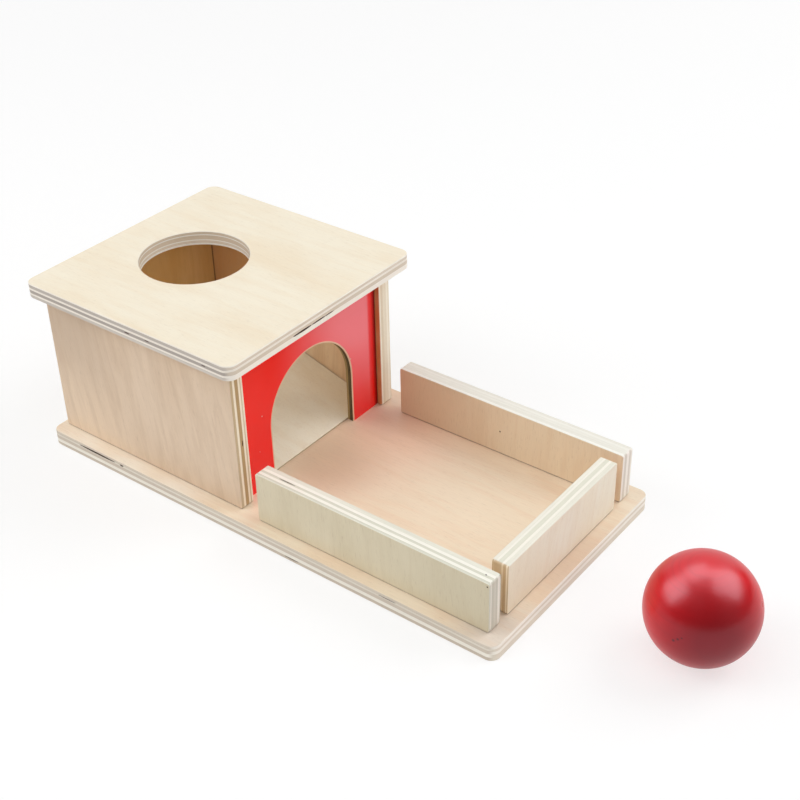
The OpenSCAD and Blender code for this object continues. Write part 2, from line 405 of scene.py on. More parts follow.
def plywood(name, node, thick, grain, veneer, edges, seed, figure=0.35, lean=0.0, tints_and_painted_light=(), joints=()):
    """Plywood with a clear finish, for the board at node, which is thin along the axis thick.
    veneer is its pale, mean and streak colours, with the grain along one axis, leaning by lean degrees.
    edges is, for the sawn edges that face each of the other two axes, a dark colour, a pale colour and
    the plies, each with its thickness and its tone between the two. Each of the patches round a place is
    a colour, from full to none at two distances, in millimetres: some are tints of the wood, and others
    are painted shade, painted light and a painted reflection of the red panel. Each of the joints is an
    axis, the place along it where another board meets this one, in millimetres, and how dark the painted
    shade in the corner is."""
    low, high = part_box(node)
    material, tree, shader = fresh_material(name)
    at = wire(tree, "TexCoord", {}).outputs
    place = at["Object"]
    parts = wire(tree, "SeparateXYZ", {"Vector": place})
    facing = wire(tree, "SeparateXYZ", {"Vector": at["Normal"]})
    face, bands, fibres, pores = veneer_face(tree, place, thick, grain, veneer, figure, lean, tints_and_painted_light, seed)
    height = spread(tree, parts.outputs[thick], low[thick], high[thick], kind="LINEAR")
    edge, threads = sawn_edges(tree, place, facing, height, thick, edges, seed)

    is_face = spread(tree, calc(tree, "ABSOLUTE", facing.outputs[thick]), 0.80, 0.97)
    colour = blended(tree, is_face, edge, face)
    # Painted shade along each joint where another board meets this one.
    for axis, place_of_joint, darkness in joints:
        away = calc(tree, "ABSOLUTE", calc(tree, "SUBTRACT", parts.outputs[axis], place_of_joint * MM))
        corner_shade = spread(tree, away, 0.0, JOINT_SHADE, darkness, 0.0)
        colour = blended(tree, corner_shade, colour, srgb(*CORNER_SHADE_BROWN))
    tree.links.new(colour, shader.inputs["Base Color"])
    tree.links.new(calc(tree, "MULTIPLY_ADD", bands, 0.14, 0.46), shader.inputs["Roughness"])
    shader.inputs["IOR"].default_value = CLEAR_FINISH_IOR
    relief = calc(tree, "SUBTRACT", calc(tree, "ADD", fibres, calc(tree, "MULTIPLY", threads, 0.7)), pores)
    bump = wire(tree, "Bump", {"Height": relief, "Distance": FIBRE_RELIEF, "Strength": 0.6})
    tree.links.new(bump.outputs[0], shader.inputs["Normal"])
    return material


def hollow_wood():
    """The dark inside of a gap between plies."""
    material, tree, shader = fresh_material("gap_wood")
    place = wire(tree, "TexCoord", {}).outputs["Object"]
    grime = noise(tree, place, (400, 400, 900), 2.0)
    colour = blended(tree, grime, srgb(40, 22, 16), srgb(105, 70, 52))
    tree.links.new(colour, shader.inputs["Base Color"])
    shader.inputs["Roughness"].default_value = 0.9
    return material


gap_wood = hollow_wood()


def gap(piece, place, size, seed):
    """Cuts a ragged hollow, such as a gap in a core ply or a pin knot, given in millimetres."""
    bpy.ops.object.select_all(action="DESELECT")
    bpy.ops.mesh.primitive_uv_sphere_add(
        segments=20, ring_count=10, radius=0.5, location=Vector(place) * MM, scale=Vector(size) * MM)
    cutter = settled("gap_cutter")
    bpy.ops.object.mode_set(mode="EDIT")
    bpy.ops.mesh.select_all(action="SELECT")
    bpy.ops.transform.vertex_random(offset=GAP_RAG, seed=seed)
    shaped()
    cut(piece, cutter, gap_wood)


def gaps(piece, marks, first_seed):
    """Cuts a gap for each mark, which is a place and a size."""
    for number, (place, size) in enumerate(marks):
        gap(piece, place, size, first_seed + number)


base_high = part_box("base_board")[1]
base_top = base_high.z / MM
base_wood = plywood(
    "base_wood", "base_board", Z, X,
    veneer=((249, 234, 210), (246, 224, 196), (234, 202, 170)),
    edges=(
        ((234, 224, 206), (254, 248, 236),
         ((1.75, 0.2), (1.45, 0.0), (1.65, 1.0), (1.1, 0.0), (1.45, 1.0))),
        ((214, 200, 182), (254, 248, 236),
         ((1.7, 0.05), (1.9, 1.0), (1.5, 0.2), (1.15, 0.55), (1.15, 0.25)))),
    seed=1.0, figure=0.3,
    tints_and_painted_light=(
        ((241, 224, 197), (62, -4, base_top), 22, 62),
        # Painted shade and a painted reflection of the red panel in the tray beside the box, over a peach
        # tint of the wood.
        ((249, 217, 190), (-8, 34, base_top), 10, 65),
        ((230, 204, 182), (-8, 42, base_top), 3, 30),
        ((225, 197, 170), (-2, -4, base_top), 4, 36),
        ((229, 203, 178), (140, 0, base_top), 14, 46),
        ((226, 213, 198), (122, -54, base_top), 5, 30),
        # Painted light along the base's front strip.
        ((255, 247, 232), (-105, -66, base_top), 4, 26),
        ((255, 247, 232), (-75, -66, base_top), 4, 26),
        ((255, 247, 232), (-45, -66, base_top), 4, 26)))
base = board("base_plywood", "base_board", Z, BASE_CORNER, base_wood)
screw_places = places_of("wall_screws") + places_of("rail_screws")
cut(base, joined([countersunk_rod(place, base_high[Z] + OVERRUN) for place in screw_places]))
gaps(base, BASE_GAPS, first_seed=1)
flattened(base)
stands_for(base, "base_board")


# Side walls
# Two upright plywood boards, glued and screwed to the base. Each has two grooves inside, which
# hold the thin front and back panels, and two blind holes in its top for the lid's dowels.
WALL_CORNER = 1.2 * MM
GROOVE_DEPTH = 2.5 * MM
GROOVE_PLAY = 0.1 * MM
END_PLAY = 0.5 * MM
DOWEL_HOLE_R = 2.05 * MM
NEAR_WALL_GAPS = (((-10.6, -48.9, 40.4), (0.9, 0.5, 3.2)),)

near_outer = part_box("near_side_wall")[0].y / MM
far_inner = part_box("far_side_wall")[0].y / MM
arch_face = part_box("arch_panel")[1].x / MM
back_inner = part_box("back_panel")[1].x / MM


def drilled(piece, places, radius, bottom, top):
    """Drills upright blind holes, which lie apart, at those of the places that are in piece."""
    low, high = [Vector([f(v.co[k] for v in piece.data.vertices) for k in (X, Y, Z)]) for f in (min, max)]
    inside = [p for p in places if low.x < p.x < high.x and low.y < p.y < high.y]
    cut(piece, joined([rod("drill", p, radius, bottom, top) for p in inside]))


def side_wall(name, node, side, material):
    """One side wall, on the side -1, near, or 1, far."""
    low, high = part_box(node)
    piece = board(name, node, Y, WALL_CORNER, material)
    inner_y = low.y if side > 0 else high.y
    for panel in ("arch_panel", "back_panel"):
        panel_low, panel_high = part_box(panel)
        groove_low = Vector((panel_low.x - GROOVE_PLAY, inner_y - GROOVE_DEPTH, low.z - OVERRUN))
        groove_high = Vector((panel_high.x + GROOVE_PLAY, inner_y + GROOVE_DEPTH, high.z + OVERRUN))
        cut(piece, block("groove", groove_low, groove_high))
    screw_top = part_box("wall_screws")[1].z + END_PLAY
    drilled(piece, places_of("wall_screws"), SCREW_HOLE_R, low.z - OVERRUN, screw_top)
    dowel_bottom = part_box("lid_dowels")[0].z - END_PLAY
    drilled(piece, places_of("lid_dowels"), DOWEL_HOLE_R, dowel_bottom, high.z + OVERRUN)
    return piece


wall_top = ((206, 182, 150), (244, 230, 206), ((1.4, 0.3), (1.5, 0.9), (1.5, 0.2), (1.5, 0.9), (1.4, 0.3)))
near_wall_wood = plywood(
    "near_wall_wood", "near_side_wall", Y, Z,
    veneer=((235, 211, 185), (227, 201, 173), (204, 174, 144)),
    edges=(
        ((188, 158, 112), (252, 242, 222),
         ((1.25, 0.35), (1.4, 1.0), (1.75, 0.0), (1.2, 0.9), (0.6, 0.5), (1.1, 1.0))),
        wall_top),
    seed=4.0, figure=0.3, lean=8, joints=((Z, base_top, 0.75),),
    tints_and_painted_light=(
        # Painted shade on the upper back of the wall under the lid's overhang, and painted light near its
        # foot.
        ((214, 190, 165), (-115, near_outer, 72), 5, 55),
        ((243, 218, 190), (-110, near_outer, 8), 5, 45)))
near_wall = side_wall("near_wall_plywood", "near_side_wall", -1, near_wall_wood)
gaps(near_wall, NEAR_WALL_GAPS, first_seed=7)
flattened(near_wall)
stands_for(near_wall, "near_side_wall")

far_edges = (
    ((232, 216, 190), (254, 246, 228), ((1.1, 0.95), (1.4, 0.1), (2.3, 0.45), (1.5, 1.0), (1.0, 0.5))),
    wall_top)
far_wall_wood = plywood(
    "far_wall_wood", "far_side_wall", Y, Z,
    veneer=((240, 217, 190), (233, 208, 178), (212, 182, 150)),
    edges=far_edges, seed=9.0, figure=0.35, lean=-6, joints=((Z, base_top, 0.7),))
# The far wall's inner face has a copy of the wood in browner, more orange tones: painted shade and a painted
# reflection of the red panel inside the box.
far_inner_shaded_wood = plywood(
    "far_inner_shaded_wood", "far_side_wall", Y, Z,
    veneer=((240, 214, 180), (232, 198, 160), (210, 172, 132)),
    edges=far_edges, seed=10.0, figure=0.35, lean=-6,
    joints=((X, arch_face, 0.8), (X, back_inner, 0.6)),
    tints_and_painted_light=(
        # Painted reflection of the red panel and painted shade on the strip beside it, darkest under the lid.
        ((212, 148, 98), (-11, far_inner, 15), 5, 17),
        ((212, 148, 98), (-11, far_inner, 35), 5, 17),
        ((212, 142, 92), (-11, far_inner, 55), 5, 17),
        ((190, 118, 70), (-11, far_inner, 75), 5, 17),
        # Painted shade inside the box near the back panel.
        ((214, 168, 120), (-112, far_inner, 55), 15, 50)))
far_wall = side_wall("far_wall_plywood", "far_side_wall", 1, far_wall_wood)
# The inner face takes the copy of the wood with painted shade.
faced(far_wall, (0, -1, 0), far_inner_shaded_wood)
flattened(far_wall)
stands_for(far_wall, "far_side_wall")


# Arch panel
# The red front of the box: thin plywood, sprayed glossy red on its face before the doorway is cut,
# so that the laser leaves a scorched edge and a thin pale rim. It slides into the walls' grooves.
DOOR_SIDE_GAP = 4.8 * MM
DOOR_TOP_GAP = 8.7 * MM
DOOR_SIDES = 96
DOOR_RIM = 0.3 * MM
PANEL_EASE = 0.2 * MM
PAINT_IOR = 1.45
ON_OUTLINE = 0.1 * MM
# The painted sheen: full near its middle, gone at the end distance, and fading out near the far wall.
SHEEN_MIDDLE = (arch_face, 32, 62)
SHEEN_FULL = 8 * MM
SHEEN_END = 60 * MM
SHEEN_FADE_FROM = 8.2 * MM
SHEEN_FADE_TO = 6.4 * MM
WORN_FULL = 0.55 * MM
WORN_END = 0.9 * MM
# How far the painted shade reaches from the far wall and from the lid.
WALL_SHADE_REACH = 5 * MM
LID_SHADE_REACH = 2.0 * MM
LID_SHADE_FULL = 0.3 * MM
PAINT_CHIPS = (
    ((arch_face, -32.8, 43.9), 0.45), ((arch_face, 27.1, 42.0), 0.7), ((arch_face, -36, 27), 0.25))

ball_low, ball_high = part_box("ball")
ball_r = (ball_high.z - ball_low.z) / 2
ball_middle = (ball_low + ball_high) / 2
arch_low, arch_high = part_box("arch_panel")
door_r = ball_r + DOOR_SIDE_GAP
door_spring = arch_low.z + 2 * ball_r + DOOR_TOP_GAP - door_r


def spotted(tree, place, colour, spots, tint, share):
    """Small spots of another tint on a colour, each given by its middle and its radius in millimetres."""
    for middle, radius in spots:
        reach = distance(tree, place, middle)
        cover = spread(tree, reach, 0.4 * radius * MM, radius * MM, share, 0.0)
        colour = blended(tree, cover, colour, srgb(*tint))
    return colour


def red_paint():
    """Sprayed red with three pale chips, and a painted sheen that makes it pinker towards the upper right.
    It is worn along the doorway, and darkened by painted shade against the far wall and the lid."""
    material, tree, shader = fresh_material("red_paint")
    place = wire(tree, "TexCoord", {}).outputs["Object"]
    parts = wire(tree, "SeparateXYZ", {"Vector": place})
    cloud = noise(tree, place, (30, 30, 30), 3.0)
    colour = blended(tree, cloud, srgb(255, 8, 6), srgb(250, 4, 4))
    # Painted sheen: a pink haze towards the upper right, faded near the far wall.
    painted_sheen = spread(tree, distance(tree, place, SHEEN_MIDDLE), SHEEN_FULL, SHEEN_END, 1.0, 0.0)
    sheen_wall_fade = spread(tree, parts.outputs[Y], arch_high.y - SHEEN_FADE_FROM, arch_high.y - SHEEN_FADE_TO, 1.0, 0.15)
    painted_sheen = calc(tree, "MULTIPLY", painted_sheen, sheen_wall_fade)
    colour = blended(tree, painted_sheen, colour, srgb(255, 124, 134))
    colour = spotted(tree, place, colour, PAINT_CHIPS, (240, 190, 185), 0.75)
    above = calc(tree, "MAXIMUM", calc(tree, "SUBTRACT", parts.outputs[Z], door_spring), 0.0)
    squares = calc(tree, "ADD", calc(tree, "POWER", parts.outputs[Y], 2.0), calc(tree, "POWER", above, 2.0))
    past_door = calc(tree, "SUBTRACT", calc(tree, "SQRT", squares), door_r)
    worn = spread(tree, past_door, WORN_FULL, WORN_END, 1.0, 0.0)
    colour = blended(tree, worn, colour, srgb(240, 205, 176))
    # Painted shade in the corner against the far wall and under the lid.
    wall_shade = spread(tree, parts.outputs[Y], arch_high.y - WALL_SHADE_REACH, arch_high.y - GROOVE_DEPTH, 0.0, 0.75)
    lid_shade = spread(tree, parts.outputs[Z], arch_high.z - LID_SHADE_REACH, arch_high.z - LID_SHADE_FULL, 0.0, 0.7)
    colour = blended(tree, calc(tree, "MAXIMUM", wall_shade, lid_shade), colour, srgb(110, 6, 8))
    tree.links.new(colour, shader.inputs["Base Color"])
    shader.inputs["IOR"].default_value = PAINT_IOR
    tree.links.new(calc(tree, "MULTIPLY_ADD", cloud, 0.08, 0.21), shader.inputs["Roughness"])
    return material


def scorched_wood(low, high):
    """The doorway's cut edge: three thin plies, the outer ones burnt darker by the laser."""
    material, tree, shader = fresh_material("scorched_wood")
    place = wire(tree, "TexCoord", {}).outputs["Object"]
    parts = wire(tree, "SeparateXYZ", {"Vector": place})
    depth = spread(tree, parts.outputs[X], low, high, kind="LINEAR")
    burn = stripes(tree, depth, ((1.2, 0.75), (1.0, 0.2), (1.0, 0.05)))
    soot = noise(tree, place, (900, 160, 160), 5.0)
    burn = calc(tree, "ADD", burn, calc(tree, "MULTIPLY_ADD", soot, 0.4, -0.2))
    colour = blended(tree, spread(tree, burn, 0.0, 1.0), srgb(84, 72, 44), srgb(176, 150, 104))
    tree.links.new(colour, shader.inputs["Base Color"])
    shader.inputs["Roughness"].default_value = 0.8
    return material


def bare_rim():
    """Pale wood that shows where the paint is rubbed off an edge."""
    material, tree, shader = fresh_material("bare_rim")
    place = wire(tree, "TexCoord", {}).outputs["Object"]
    colour = blended(tree, noise(tree, place, (200, 200, 200), 4.0), srgb(236, 214, 190), srgb(222, 170, 140))
    tree.links.new(colour, shader.inputs["Base Color"])
    shader.inputs["Roughness"].default_value = 0.6
    return material


def door_cutter():
    """The doorway's shape: half a round bar across the panel, its flat side drawn down to the floor."""
    bpy.ops.object.select_all(action="DESELECT")
    bpy.ops.mesh.primitive_cylinder_add(
        vertices=DOOR_SIDES, radius=door_r, depth=arch_high.x - arch_low.x + 2 * OVERRUN,
        location=((arch_low.x + arch_high.x) / 2, 0, door_spring), rotation=(0, math.radians(90), 0))
    piece = settled("door_cutter")
    bpy.ops.object.mode_set(mode="EDIT")
    bpy.ops.mesh.select_all(action="SELECT")
    bpy.ops.mesh.bisect(plane_co=(0, 0, door_spring), plane_no=(0, 0, 1), use_fill=True, clear_inner=True)
    shaped()
    pick_faces(piece, lambda middle, normal: normal.z < DOWNWARDS and middle.z < door_spring + SMALL)
    drop = door_spring - arch_low.z + OVERRUN
    bpy.ops.mesh.extrude_region_move(TRANSFORM_OT_translate={"value": (0, 0, -drop)})
    shaped()
    return piece


def round_the_door(v):
    """Whether a point lies on the doorway's outline."""
    if v.z > door_spring:
        return abs(math.hypot(v.y, v.z - door_spring) - door_r) < ON_OUTLINE
    return abs(abs(v.y) - door_r) < ON_OUTLINE


thin_edge = ((176, 150, 118), (222, 204, 176), ((1.0, 0.2), (1.2, 0.9), (1.0, 0.2)))
panel_wood = plywood(
    "panel_wood", "arch_panel", X, Z,
    veneer=((248, 230, 204), (242, 220, 190), (226, 198, 162)),
    edges=(thin_edge, thin_edge), seed=12.0)
arch = block("red_arch_panel", arch_low, arch_high)
arch.data.materials.append(panel_wood)
cut(arch, door_cutter(), scorched_wood(arch_low.x, arch_high.x))
arch.data.materials.append(bare_rim())
pick_edges(
    arch, lambda a, b: round_the_door(a) and round_the_door(b) and min(a.x, b.x) > arch_high.x - SMALL)
bpy.ops.mesh.bevel(offset=DOOR_RIM, segments=2, affect="EDGES", material=2)
shaped()
faced(arch, (1, 0, 0), red_paint())
flattened(arch)
stands_for(arch, "arch_panel")


# Back panel
# The plain back of the box, of the same thin plywood, left bare. It slides into the walls' back
# grooves before the lid goes on.
back_wood = plywood(
    "back_wood", "back_panel", X, Z,
    veneer=((240, 216, 182), (232, 203, 164), (212, 178, 136)),
    edges=(thin_edge, thin_edge), seed=14.0, figure=0.3)
# The back panel's inner face has a copy of the wood in much darker, browner tones: painted shade inside the
# box.
back_inner_shaded_wood = plywood(
    "back_inner_shaded_wood", "back_panel", X, Z,
    veneer=((214, 176, 122), (204, 161, 100), (190, 146, 86)),
    edges=(thin_edge, thin_edge), seed=15.0, figure=0.3, joints=((Y, -far_inner, 0.8), (Y, far_inner, 0.8)))
back = board("back_thin_plywood", "back_panel", X, PANEL_EASE, back_wood, ease=PANEL_EASE)
faced(back, (1, 0, 0), back_inner_shaded_wood)
flattened(back)
stands_for(back, "back_panel")


# Ramp
# A thin board that slopes from the back panel down to the doorway, glued to a strip under its high
# end. Its toe is planed thin by hand, so it is a little wavy and leaves a dark gap on the base.
RAMP_NOSE = 0.8 * MM
TOE_STEPS = 60
TOE_WAVE = 0.25 * MM
TOE_LIFT = 0.4 * MM

ramp_low, ramp_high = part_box("ramp")
slope_rise = ramp_high.z - ramp_low.z - RAMP_NOSE
slope_run = ramp_high.x - ramp_low.x
slope_normal = Vector((slope_rise, 0, slope_run)).normalized()


def bisected(piece, point, normal):
    """Saws piece through a point, and keeps what lies behind the cut."""
    only(piece)
    bpy.ops.object.mode_set(mode="EDIT")
    bpy.ops.mesh.select_all(action="SELECT")
    bpy.ops.mesh.bisect(plane_co=point, plane_no=normal, use_fill=True, clear_outer=True)
    shaped()


def on_toe(a, b):
    """Whether an edge lies along the toe's underside."""
    across = abs(a.x - b.x) < SMALL
    return across and max(a.x, b.x) > ramp_high.x - SMALL and max(a.z, b.z) < ramp_low.z + SMALL


ramp_wood = plywood(
    "ramp_wood", "ramp", Z, X,
    veneer=((248, 242, 224), (243, 234, 212), (231, 215, 189)),
    edges=(((236, 224, 196), (236, 224, 196), ((1, 0.5),)), ((70, 45, 30), (110, 80, 55), ((1, 0.5),))),
    seed=18.0, figure=0.3,
    joints=((Z, base_top, 0.9), (Y, -far_inner, 0.6), (Y, far_inner, 0.75)))
ramp = block("ramp_board", ramp_low, ramp_high)
ramp.data.materials.append(ramp_wood)
bisected(ramp, (ramp_high.x, 0, ramp_low.z + RAMP_NOSE), slope_normal)
ramp_heel = min(
    (v.co for v in frame["nodes"]["ramp"].data.vertices if v.co.x < ramp_low.x + SMALL), key=lambda v: v.z)
bisected(ramp, ramp_heel, -slope_normal)
only(ramp)
bpy.ops.object.mode_set(mode="EDIT")
for step in range(1, TOE_STEPS):
    y = ramp_low.y + (ramp_high.y - ramp_low.y) * step / TOE_STEPS
    bpy.ops.mesh.select_all(action="SELECT")
    bpy.ops.mesh.bisect(plane_co=(0, y, 0), plane_no=(0, 1, 0))
shaped()
pick_edges(ramp, on_toe)
bpy.ops.transform.translate(value=(0, 0, TOE_LIFT))
bpy.ops.transform.vertex_random(offset=TOE_WAVE, seed=5)
shaped()
for vertex in ramp.data.vertices:
    vertex.co.x = min(vertex.co.x, ramp_high.x)
    vertex.co.z = max(vertex.co.z, ramp_low.z)
flattened(ramp)
stands_for(ramp, "ramp")

rest_low, rest_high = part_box("ramp_rest")
rest_wood = plywood(
    "rest_wood", "ramp_rest", X, Y,
    veneer=((226, 204, 174), (214, 186, 152), (196, 164, 128)),
    edges=(((196, 166, 134), (240, 224, 198), ((1, 0.3), (1, 0.9), (1, 0.2), (1, 0.9), (1, 0.3))),) * 2,
    seed=21.0)
rest = block("ramp_rest_strip", rest_low, rest_high)
rest.data.materials.append(rest_wood)
bisected(rest, (rest_low.x, 0, rest_high.z), slope_normal)
only(rest)
tool = rest.modifiers.new("eased", "BEVEL")
tool.width = PANEL_EASE
tool.segments = 2
bpy.ops.object.modifier_apply(modifier=tool.name)
flattened(rest)
stands_for(rest, "ramp_rest")


# Lid
# A wider plywood board that overhangs the box all round. The hole for the ball is routed through it
# and its rim is eased. Four blind dowels place it on the walls, and it is glued down.
LID_CORNER = 4.8 * MM
RIM_SIDES = 96
LID_VENEER = ((246, 236, 214), (242, 227, 200), (235, 215, 183))
LID_GAPS = (
    ((-2.9, -15.5, 81.75), (2.4, 12, 0.9)),
    ((-2.9, -5.0, 81.8), (1.8, 9, 0.65)),
    ((-2.9, 2.0, 81.8), (1.2, 6, 0.5)),
    ((-61.0, -60, 82.3), (3.2, 0.9, 0.5)),
    ((-49.2, -60, 82.5), (2.6, 0.7, 0.4)),
    ((-17.1, -60, 82.4), (2.4, 0.7, 0.4)),
    ((-90.0, 60, 81.8), (14, 1.4, 0.4)))

lid_low, lid_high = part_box("lid")
hole = next(m for m in frame["record"]["mounts"] if m["name"] == "ball_hole")
hole_r = hole["dims"]["r_mm"] * MM
hole_middle = Vector(hole["pos_m"])
lid_wood = plywood(
    "lid_wood", "lid", Z, X,
    veneer=LID_VENEER,
    edges=(
        ((222, 208, 190), (254, 248, 238),
         ((1.0, 1.0), (1.7, 1.0), (1.6, 0.1), (1.2, 0.75), (1.0, 0.25), (0.6, 0.9))),
        ((182, 170, 160), (248, 240, 228),
         ((1.5, 0.45), (1.1, 1.0), (1.3, 0.0), (1.2, 1.0), (1.3, 0.3), (0.6, 1.0)))),
    seed=24.0, figure=0.22)
hole_edge = (
    (224, 210, 190), (255, 254, 248),
    ((1.2, 1.0), (1.1, 0.3), (0.65, 1.0), (1.9, 0.0), (0.65, 1.0), (1.1, 0.1), (0.4, 1.0)))
hole_wood = plywood(
    "hole_wood", "lid", Z, X,
    veneer=LID_VENEER,
    edges=(hole_edge, hole_edge), seed=25.0)
lid = board("lid_board", "lid", Z, LID_CORNER, lid_wood)
hole_cutter = rod("hole_cutter", hole_middle, hole_r, lid_low.z - OVERRUN, lid_high.z + OVERRUN, RIM_SIDES)
cut(lid, hole_cutter, hole_wood)


def on_rim(v):
    """Whether a point lies on the hole's upper or lower rim."""
    return abs((v - hole_middle).xy.length - hole_r) < ON_OUTLINE


pick_edges(lid, lambda a, b: on_rim(a) and on_rim(b) and abs(a.z - b.z) < SMALL)
bpy.ops.mesh.bevel(offset=EASE, segments=EASE_STEPS, affect="EDGES")
shaped()
dowel_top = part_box("lid_dowels")[1].z + END_PLAY
drilled(lid, places_of("lid_dowels"), DOWEL_HOLE_R, lid_low.z - OVERRUN, dowel_top)
gaps(lid, LID_GAPS, first_seed=20)
flattened(lid)
stands_for(lid, "lid")


# Tray rails
# Three plywood fences that keep the ball in the tray, each held by two screws from below. The end
# rail stops short of the side rails, which leaves an open slot at each corner.
RAIL_CORNER = 1.2 * MM
NEAR_RAIL_GAPS = (
    ((15.0, -50.4, 32.2), (9, 0.45, 0.9)),
    ((113.9, -49.9, 32.2), (0.8, 0.6, 0.8)),
    ((117.2, -53.9, 30.6), (0.7, 0.7, 0.7)))
FAR_RAIL_GAPS = (((56.0, 46.1, 19.4), (0.8, 0.7, 0.8)),)


def rail(name, node, thick, material):
    """One fence with its two pilot holes."""
    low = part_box(node)[0]
    piece = board(name, node, thick, RAIL_CORNER, material)
    screw_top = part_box("rail_screws")[1].z + END_PLAY
    drilled(piece, places_of("rail_screws"), SCREW_HOLE_R, low.z - OVERRUN, screw_top)
    return piece


rail_top = (
    (217, 216, 198), (249, 247, 235),
    ((0.35, 0.5), (0.9, 0.0), (1.6, 1.0), (1.15, 0.0), (1.6, 1.0), (2.2, 0.45)))
near_rail_wood = plywood(
    "near_rail_wood", "near_tray_rail", Y, Z,
    veneer=((231, 220, 193), (225, 213, 184), (210, 195, 164)),
    edges=(
        ((206, 202, 186), (240, 236, 224),
         ((0.6, 0.3), (1.0, 0.7), (1.5, 0.0), (1.2, 0.4), (1.1, 0.2), (1.6, 1.0), (0.8, 0.1))),
        rail_top),
    seed=27.0, figure=0.25, lean=4, joints=((Z, base_top, 0.7),),
    tints_and_painted_light=(((219, 208, 180), (118, -53.9, 20), 5, 60),))
near_rail = rail("near_rail_plywood", "near_tray_rail", Y, near_rail_wood)
gaps(near_rail, NEAR_RAIL_GAPS, first_seed=31)
flattened(near_rail)
stands_for(near_rail, "near_tray_rail")

far_rail_wood = plywood(
    "far_rail_wood", "far_tray_rail", Y, Z,
    veneer=((243, 226, 199), (238, 218, 190), (226, 198, 166)),
    edges=(
        ((222, 212, 198), (252, 246, 236), ((1.3, 0.95), (1.6, 0.15), (2.0, 0.9), (1.4, 0.15), (1.5, 1.0))),
        ((233, 230, 217), (250, 249, 240), ((1.6, 0.8), (1.5, 0.3), (1.6, 0.4), (1.5, 0.5), (1.6, 0.3)))),
    seed=30.0, figure=0.25,
    # Painted shade at the rail's left end, beside the box.
    tints_and_painted_light=(((223, 197, 169), (0, 46, 18), 5, 60),), joints=((Z, base_top, 0.85),))
far_rail = rail("far_rail_plywood", "far_tray_rail", Y, far_rail_wood)
gaps(far_rail, FAR_RAIL_GAPS, first_seed=34)
flattened(far_rail)
stands_for(far_rail, "far_tray_rail")

end_rail_wood = plywood(
    "end_rail_wood", "end_tray_rail", X, Z,
    veneer=((249, 243, 225), (247, 238, 216), (236, 219, 192)),
    edges=(
        ((214, 184, 142), (255, 238, 212),
         ((0.7, 0.0), (0.4, 0.6), (3.2, 0.3), (1.0, 0.6), (1.1, 0.2), (0.9, 0.95), (0.3, 0.3), (0.2, 1.0))),
        ((229, 227, 209), (249, 245, 232), ((1.6, 0.55), (1.1, 0.85), (1.7, 0.0), (1.3, 1.0), (2.1, 0.45)))),
    seed=33.0, figure=0.25, lean=10, joints=((Z, base_top, 0.95),),
    tints_and_painted_light=(((240, 228, 204), (118, -38, 12), 6, 34),))
end_rail = rail("end_rail_plywood", "end_tray_rail", X, end_rail_wood)
flattened(end_rail)
stands_for(end_rail, "end_tray_rail")


# Screws and dowels
# Zinc-plated countersunk screws with a cross in the head, seen only from below, and blind beech
# dowels. Both are the frame's own solids, here given their finish.
def zinc():
    """Brushed, slightly dull zinc plating."""
    material, tree, shader = fresh_material("zinc")
    place = wire(tree, "TexCoord", {}).outputs["Object"]
    cloud = noise(tree, place, (700, 700, 700), 3.0)
    colour = blended(tree, cloud, srgb(196, 198, 200), srgb(168, 168, 164))
    tree.links.new(colour, shader.inputs["Base Color"])
    shader.inputs["Metallic"].default_value = 1.0
    tree.links.new(calc(tree, "MULTIPLY_ADD", cloud, 0.25, 0.22), shader.inputs["Roughness"])
    return material


def beech():
    """Bare beech with its short dark flecks along the dowel."""
    material, tree, shader = fresh_material("beech")
    place = wire(tree, "TexCoord", {}).outputs["Object"]
    flecks = spread(tree, noise(tree, place, (1500, 1500, 300), 7.0), 0.55, 0.7)
    colour = blended(tree, flecks, srgb(224, 190, 146), srgb(180, 138, 96))
    tree.links.new(colour, shader.inputs["Base Color"])
    shader.inputs["Roughness"].default_value = 0.7
    return material


def finished(node, material):
    """Gives one of the frame's own solids its finish."""
    piece = frame["nodes"][node]
    piece.data.materials.clear()
    piece.data.materials.append(material)


screw_finish = zinc()
finished("wall_screws", screw_finish)
finished("rail_screws", screw_finish)
finished("lid_dowels", beech())


# Ball
# A turned wooden ball, dipped in red lacquer. The lacquer is smooth but lies over fine turning
# lines, and the ball is not quite round. It lies loose beside the toy.
BALL_CUTS = 47
BALL_DENT = 0.06 * MM
# The side of the ball that its painted shade lies on.
SHADED_SIDE = Vector((0.635, -0.765, 0.118))
NICKS = (((183.6, -31, 23.1), 0.8), ((185.2, -30.9, 24.4), 0.7), ((186.6, -30.6, 25.5), 0.5))
DENT_SIZE = 14 * MM
DENT_CONTRAST = 0.6
LACQUER_IOR = 1.55
LACQUER_SHINE = (0.62, 0.88, 1.0, 1)


